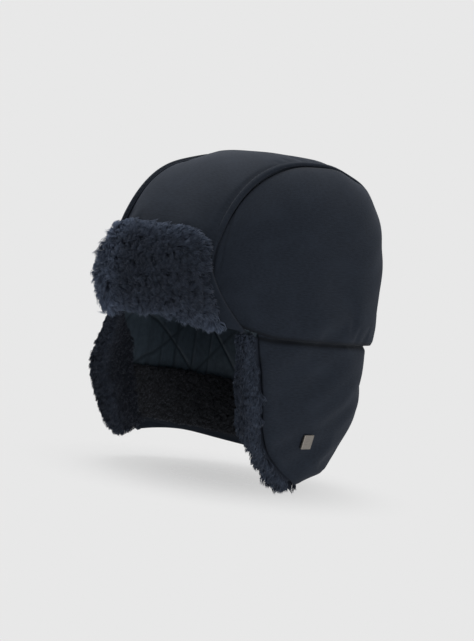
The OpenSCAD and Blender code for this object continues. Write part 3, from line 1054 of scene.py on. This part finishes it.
class HAT_OT_neck_lining(bpy.types.Operator):
    """Hangs the quilted lining inside the neck curtain"""

    bl_idname = "hat.neck_lining"
    bl_label = "Neck lining"

    def execute(self, context):
        sizes = context.scene.hat_sizes
        pitch = sizes.quilt_pitch / MM
        depth = sizes.quilt_depth / MM
        nylon = material_named("quilted_nylon")

        def spots(u, v):
            z = mix(FOLD_TOP_Z * (1 - ease(u / 0.2)) + 3.0, -LINING_DEPTH - 1.5, 1 - v)
            front = curtain_angle(band_back_y(z) - 2.0, z, EAR_PILE_IN)
            return mix(front, math.pi / 2, u), z

        def lines(u, v):
            """Quilting lines, and pleats where the cloth is gathered above the pile."""
            angle, z = spots(u, v)
            around = angle * LINING_RADIUS
            pleat = around + 4 * np.sin(around * 0.13)
            from_pleat = pleat - PLEAT_PITCH * np.round(pleat / PLEAT_PITCH)
            crease = bump(from_pleat, 1.0) * (0.45 + 0.4 * np.sin(around * 0.37))
            return np.maximum(quilt_lines(around - QUILT_START, z + LINING_DEPTH, pitch), crease)

        def lining(u, v):
            angle, z = spots(u, v)
            return curtain_point(angle, z, NECK_LINING_IN + 1.2 * bump(z, 4) - depth * lines(u, v))

        # The quilting lines and pleats are dents in the lining and also carry painted shade
        for name, place, sewn in both_sides(lining, lines):
            sheet = cloth_piece("quilted_neck_" + name, 220, 60, place, 0.7, nylon, lines=sewn)
            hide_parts("neck_lining_" + name)
            blend_over_fold(sheet)
        return {"FINISHED"}


class HAT_OT_neck_sherpa(bpy.types.Operator):
    """Lays the short dark pile inside the neck"""

    bl_idname = "hat.neck_sherpa"
    bl_label = "Neck sherpa"

    def execute(self, context):
        sizes = context.scene.hat_sizes
        pile = material_named("neck_pile")

        def pad(u, v):
            z = mix(-LINING_DEPTH, -HEM_DEPTH + BINDING_W, 1 - v)
            front = curtain_angle(band_back_y(z) - 1.0, z, EAR_PILE_IN)
            return curtain_point(mix(front, math.pi / 2, u), z, NECK_PILE_IN)

        def groom(spots, normal):
            inside = (outwards(spots, normal) < 0) + 0.02
            way = normal * 0.5 + flow(spots, normal, np.full(len(spots), -1.2), 1.6)
            above = ease((spots[:, 2] + HEM_DEPTH - BINDING_W) / 9)
            return inside, way, mix(0.35, 1.0, above), mix(0.5, 1.0, above)

        for name, place, _ in both_sides(pad):
            piece = cloth_piece("neck_pile_" + name, 40, 14, place, 4.5, pile, rounding=1)
            grow_pile(piece, sizes.pile_strands, sizes.neck_pile_length / MM, NECK_STRAND_W, groom, 11)
            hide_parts("neck_sherpa_" + name, "ear_flap_facing_" + name)
            blend_over_fold(piece)
        return {"FINISHED"}


class HAT_OT_hem(bpy.types.Operator):
    """Binds the hem of the neck curtain"""

    bl_idname = "hat.hem"
    bl_label = "Hem binding"

    def execute(self, context):
        sizes = context.scene.hat_sizes
        cloth = material_named("binding_cloth")
        thread = material_named("topstitch_thread")

        def binding(u, v):
            z = mix(-HEM_DEPTH + BINDING_W + 0.6, -HEM_DEPTH + 0.3, 1 - v)
            front = curtain_angle(band_back_y(z) - 2.0, z, 3.0)
            return curtain_point(mix(front, math.pi / 2, u), z, HEM_IN - 0.5 * bump(v - 0.5, 0.6))

        u = np.linspace(0.02, 0.98, int(HEM_LENGTH * MM / sizes.stitch_pitch))
        for name, place, _ in both_sides(binding):
            strip = cloth_piece("hem_strip_" + name, 80, 8, place, 1.2, cloth)
            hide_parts("hem_binding_" + name)
            blend_over_fold(strip)
            row = settle(place(u, np.full_like(u, 0.8)))
            inward = unit(row * np.array([-1.0, -1.0, 0.0]))
            stitches = stitch_row(
                "hem_stitches_" + name, row + inward * 1.2, inward, sizes.stitch_pitch, thread
            )
            blend_over_fold(stitches)
        return {"FINISHED"}


class HAT_OT_ear_sherpa(bpy.types.Operator):
    """Faces the ear flaps with sherpa that rolls round their front edge"""

    bl_idname = "hat.ear_sherpa"
    bl_label = "Ear flap sherpa"

    def execute(self, context):
        sizes = context.scene.hat_sizes
        pile = material_named("sherpa_pile")

        def pad(trim, rise, tip):
            """The sherpa face of a flap, its roll trimmed at the tip, its lower edge rising backwards."""

            def placed(u, v):
                w = 1 - v
                z = mix(FOLD_TOP_Z, -TIP_DEPTH + tip + rise * u**1.5, w)
                over = SHERPA_OVER + 4.0 * ease(w / 0.4) - trim * ease((w - 0.6) / 0.2) + 10 * w**6
                front = curtain_angle(front_edge_y(w, over), z, EAR_PILE_IN)
                back = curtain_angle(band_back_y(z), z, EAR_PILE_IN)
                return curtain_point(mix(front, back, u), z, EAR_PILE_IN)

            return placed

        def groom(spots, normal):
            x, y, z = spots.T
            share = np.clip(-z / TIP_DEPTH, 0, 1)
            covered = (outwards(spots, normal) > 0) & (y > front_edge_y(share, 0) + 1.0)
            rim = bump(y - front_edge_y(share, SHERPA_OVER - 4), 7.0)
            tufts = rim * ease(np.sin(z * 0.9 + 2 * np.sin(z * 0.37)) + 0.3)
            tip = ease((share - 0.86) / 0.1)
            hang = np.outer(0.9 * tufts + 0.7 * rim, (0.0, -1.0, -0.4))
            hang += np.outer(2.0 * tip, (0.0, 0.0, -1.0))
            way = normal * 0.45 + flow(spots, normal, np.full(len(spots), -1.3), 1.5) + hang
            reach = mix(0.6, 1.0, ease(share / 0.5)) + 0.2 * tip
            # Painted light on the pile of the rolled front rim, and painted shade on the inner face and, at
            # half tone, over the whole right flap
            tone_and_painted_light = (0.28 + 0.76 * rim) * np.where(x < 0, 0.5, 1.0)
            return np.where(covered, 0.0, 1.0 + 1.2 * rim), way, reach, tone_and_painted_light

        left = pad(trim=8.0, rise=0.0, tip=2.0)
        right = mirror_right(pad(trim=-5.0, rise=9.0, tip=4.5))
        for name, place in (("left", left), ("right", right)):
            piece = cloth_piece("ear_pile_" + name, 22, 24, place, 5.5, pile, rounding=1)
            grow_pile(piece, sizes.pile_strands, sizes.pile_length / MM, sizes.pile_width / MM, groom, 23)
            put_on(piece, "ear_flap_" + name, ["ear_flap_sherpa_" + name])
        return {"FINISHED"}


def blend_over_brow(piece):
    """Bakes the piece's transform into its mesh."""
    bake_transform(piece)


class HAT_OT_front_flap(bpy.types.Operator):
    """Turns up the cloth backing of the front flap"""

    bl_idname = "hat.front_flap"
    bl_label = "Front flap cloth"

    def execute(self, context):
        cloth = material_named("soft_shell_cloth")

        def across(u):
            return np.sin(math.pi / 2 * (2 * u - 1))

        def backing(u, v):
            c = across(u)
            return front_point(c, v, FLAP_OUT - 3.2 * bump(1 - np.abs(c), 0.035), 0)

        # Painted shade along the backing's turned side edges, where it meets the crown
        def flap_edge_shade(u, v):
            return bump(1 - np.abs(across(u)), 0.014)

        piece = cloth_piece("front_flap_cloth", 110, 40, backing, 2.9, cloth, lines=flap_edge_shade)
        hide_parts("front_flap_shell", "front_flap_wadding")
        blend_over_brow(piece)
        return {"FINISHED"}


class HAT_OT_front_sherpa(bpy.types.Operator):
    """Faces the front flap with combed sherpa"""

    bl_idname = "hat.front_sherpa"
    bl_label = "Front flap sherpa"

    def execute(self, context):
        sizes = context.scene.hat_sizes
        pile = material_named("sherpa_pile")

        def pad(u, v):
            c = 2 * u - 1
            full = np.sin(math.pi * mix(0.04, 0.96, v)) ** 0.7 * np.sqrt(1 - 0.5 * np.clip(c, 0, 1) ** 2)
            puff = 4.8 + 0.8 * ease(c)
            puff += (3.2 * bump(v - 0.36, 0.22) - 2.5 * ease((v - 0.6) / 0.3)) * ease(-c)
            rim = (1 - np.abs(c) ** 16) ** 0.5
            foot = 0.18 * ease((-c - 0.78) / 0.22) - 0.06 * bump(c + 0.68, 0.14)
            inner = c * (1 - 0.3 * (c < 0) * (1 - v) ** 4)
            return front_point(inner, mix(foot, 1, v), FLAP_PILE_OUT + puff * full * rim, FLAP_MARGIN_ANGLE)

        def groom(spots, normal):
            """Pile combed inwards, and outwards past a wavy parting at the flap's right end."""
            x, _, z = spots.T
            upper = ease((z - FLAP_TOP_Z + 18) / 16)
            lower = bump(z - 3, 10)
            end = ease((-x - 33 + 7 * np.sin(z * 0.37)) / 16)[:, None]
            inward = flow(spots, normal, mix(-0.25, 1.2, upper) - 0.9 * lower, 1.2)
            outward = flow(spots, normal, mix(-2.9, -4.1, upper) + 0.7 * lower, 1.0)
            way = normal * mix(0.28, 0.1, upper)[:, None] + mix(inward, outward, end)
            # Painted highlight along the flap's top rim, and painted light along its foot and over its
            # right end
            tone_and_painted_light = 0.68 + np.maximum(upper, 1.7 * lower) + 1.5 * ease((-x - 18) / 26)
            shown = outwards(spots, normal) > -20
            return shown * 1.0, way, mix(1.15, 0.8, upper), tone_and_painted_light

        piece = cloth_piece("front_flap_pile", 64, 26, pad, 2.6, pile, rounding=1)
        grow_pile(piece, sizes.pile_strands, sizes.pile_length / MM, sizes.pile_width / MM, groom, 37)
        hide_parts("front_flap_sherpa")
        blend_over_brow(piece)
        return {"FINISHED"}


class HAT_OT_badge(bpy.types.Operator):
    """Sets the bare metal badge on the left ear flap"""

    bl_idname = "hat.badge"
    bl_label = "Badge"

    def execute(self, context):
        metal = material_named("brushed_badge")
        z = -BADGE_DEPTH + np.array([-5.0, 0.0, 5.0, 0.0, 0.0])
        y = BADGE_Y + np.array([0.0, -5.0, 0.0, 5.0, 0.0])
        below, before, above, behind, middle = settle(curtain_point(curtain_angle(y, z, 0.0), z, 0.0))
        up = Vector(above - below).normalized()
        back = Vector(behind - before).normalized()
        out = back.cross(up).normalized()
        back = up.cross(out)
        bm = bmesh.new()
        size = Matrix.Diagonal((BADGE_THICK * MM, BADGE_SIZE * MM, BADGE_SIZE * MM, 1))
        bmesh.ops.create_cube(bm, size=1, matrix=size)
        face = [f for f in bm.faces if f.normal.x > 0.9]
        rim = bmesh.ops.inset_region(bm, faces=face, thickness=BADGE_RIM * MM)
        bmesh.ops.translate(bm, verts=face[0].verts, vec=(BADGE_RAISE * MM, 0, 0))
        rim_edges = {e for f in rim["faces"] for e in f.edges}
        edges = [e for e in bm.edges if e not in rim_edges]
        bmesh.ops.bevel(
            bm, geom=edges, offset=BADGE_EDGE * MM, affect="EDGES", segments=2, profile=0.5, material=-1
        )
        turn = Matrix((out, back, up)).transposed().to_4x4()
        seat = Matrix.Translation(Vector(middle) * MM + out * BADGE_SEAT * MM)
        bmesh.ops.transform(bm, matrix=seat @ turn, verts=bm.verts)
        badge = link_piece("badge", mesh_from(bm, "badge"), metal)
        badge.data.shade_flat()
        put_on(badge, "ear_flap_left", ["badge_plate"])
        return {"FINISHED"}


def add_area(name, place, size, power):
    lamp = bpy.data.lights.new(name, "AREA")
    lamp.shape = "DISK"
    lamp.size = size
    lamp.energy = power
    holder = bpy.data.objects.new(name, lamp)
    holder.location = place
    holder.rotation_euler = (-Vector(place)).to_track_quat("-Z", "Y").to_euler()
    bpy.context.scene.collection.objects.link(holder)


class HAT_OT_stage(bpy.types.Operator):
    """Sets the floor, the soft light and the camera"""

    bl_idname = "hat.stage"
    bl_label = "Stage"

    def execute(self, context):
        scene = context.scene
        pale = tuple(scene.hat_colours.floor)
        scene.view_settings.view_transform = "Standard"
        scene.world = self.studio_world(pale)
        self.lay_floor(pale)
        add_area("key_light", place=(-0.6, 0.2, 1.75), size=1.3, power=19.5)
        add_area("fill_light", place=(-1.5, -0.5, 0.3), size=1.2, power=8.5)
        add_area("side_light", place=(1.5, -0.45, -0.4), size=1.2, power=7)
        camera = self.new_camera()
        scene.collection.objects.link(camera)
        scene.camera = camera
        return {"FINISHED"}

    def studio_world(self, pale):
        """Soft light, and the pale background for camera, glossy and transmission rays."""
        world = bpy.data.worlds.new("studio")
        world.use_nodes = True
        tree = world.node_tree
        soft = tree.nodes["Background"]
        set_sockets(tree, soft, {"Color": (0.95, 0.97, 1.0, 1), "Strength": 0.27})
        seen = add_node(tree, "ShaderNodeBackground", {"Color": (*pale, 1)})
        rays = add_node(tree, "ShaderNodeLightPath")
        showing = 0.0
        for kind in ("Is Camera Ray", "Is Glossy Ray", "Is Transmission Ray"):
            sockets = {0: showing, 1: rays.outputs[kind]}
            showing = add_node(tree, "ShaderNodeMath", sockets, operation="MAXIMUM").outputs[0]
        sockets = {"Fac": showing, 1: soft.outputs["Background"], 2: seen.outputs["Background"]}
        choose = add_node(tree, "ShaderNodeMixShader", sockets)
        set_sockets(tree, tree.nodes["World Output"], {"Surface": choose.outputs["Shader"]})
        return world

    def lay_floor(self, pale):
        """A pale floor that fades into the background away from the hat."""
        material, tree, shader = new_material("pale_floor")
        where = add_node(tree, "ShaderNodeTexCoord")
        away = add_node(tree, "ShaderNodeVectorMath", {0: where.outputs["Object"]}, operation="LENGTH")
        fall = {"From Min": 0.08, "From Max": 0.20, "To Min": 0.4, "To Max": 0.0}
        sockets = {"Value": away.outputs["Value"], **fall}
        fade = add_node(tree, "ShaderNodeMapRange", sockets, interpolation_type="SMOOTHSTEP")
        finish = {
            "Base Color": (*pale, 1),
            "Roughness": 1.0,
            "Specular IOR Level": 0.0,
            "Alpha": fade.outputs["Result"],
        }
        set_sockets(tree, shader, finish)
        bm = bmesh.new()
        bmesh.ops.create_circle(bm, cap_ends=True, segments=96, radius=FLOOR_RADIUS)
        bmesh.ops.translate(bm, verts=bm.verts, vec=(0, 0, FLOOR_Z))
        floor = link_piece("floor", mesh_from(bm, "floor"), material)

    def new_camera(self):
        lens = bpy.data.cameras.new("camera")
        lens.lens = SENSOR_MM * FOCAL_PIXELS / PICTURE_H
        lens.shift_x = SHIFT_PIXELS[0] / PICTURE_H
        lens.shift_y = SHIFT_PIXELS[1] / PICTURE_H
        camera = bpy.data.objects.new("camera", lens)
        turn = Matrix((CAMERA_RIGHT, CAMERA_UP, CAMERA_BACK)).transposed().to_4x4()
        camera.matrix_world = Matrix.Translation(Vector(CAMERA_BACK) * CAMERA_DISTANCE) @ turn
        return camera


PIECES = (
    HAT_OT_stage,
    HAT_OT_crown,
    HAT_OT_welts,
    HAT_OT_crown_lining,
    HAT_OT_curtain,
    HAT_OT_neck_lining,
    HAT_OT_neck_sherpa,
    HAT_OT_hem,
    HAT_OT_ear_sherpa,
    HAT_OT_front_flap,
    HAT_OT_front_sherpa,
    HAT_OT_badge,
)


class HAT_PT_panel(bpy.types.Panel):
    """Lists the hat's pieces, sizes and colours"""

    bl_idname = "HAT_PT_panel"
    bl_label = "Hat"
    bl_space_type = "VIEW_3D"
    bl_region_type = "UI"
    bl_category = "Hat"

    def draw(self, context):
        for group in (context.scene.hat_sizes, context.scene.hat_colours):
            for name in group.bl_rna.properties.keys():
                if name not in ("rna_type", "name"):
                    self.layout.prop(group, name)
        for piece in PIECES:
            self.layout.operator(piece.bl_idname)


CLASSES = (HatSizes, HatColours, *PIECES, HAT_PT_panel)


def register():
    for cls in CLASSES:
        bpy.utils.register_class(cls)
    bpy.types.Scene.hat_sizes = bpy.props.PointerProperty(type=HatSizes)
    bpy.types.Scene.hat_colours = bpy.props.PointerProperty(type=HatColours)


def unregister():
    del bpy.types.Scene.hat_colours
    del bpy.types.Scene.hat_sizes
    for cls in reversed(CLASSES):
        bpy.utils.unregister_class(cls)


def main():
    register()
    bpy.ops.hat.stage()
    bpy.ops.hat.crown()
    bpy.ops.hat.welts()
    bpy.ops.hat.crown_lining()
    bpy.ops.hat.curtain()
    bpy.ops.hat.neck_lining()
    bpy.ops.hat.neck_sherpa()
    bpy.ops.hat.hem()
    bpy.ops.hat.ear_sherpa()
    bpy.ops.hat.front_flap()
    bpy.ops.hat.front_sherpa()
    bpy.ops.hat.badge()


if __name__ == "__main__":
    main()
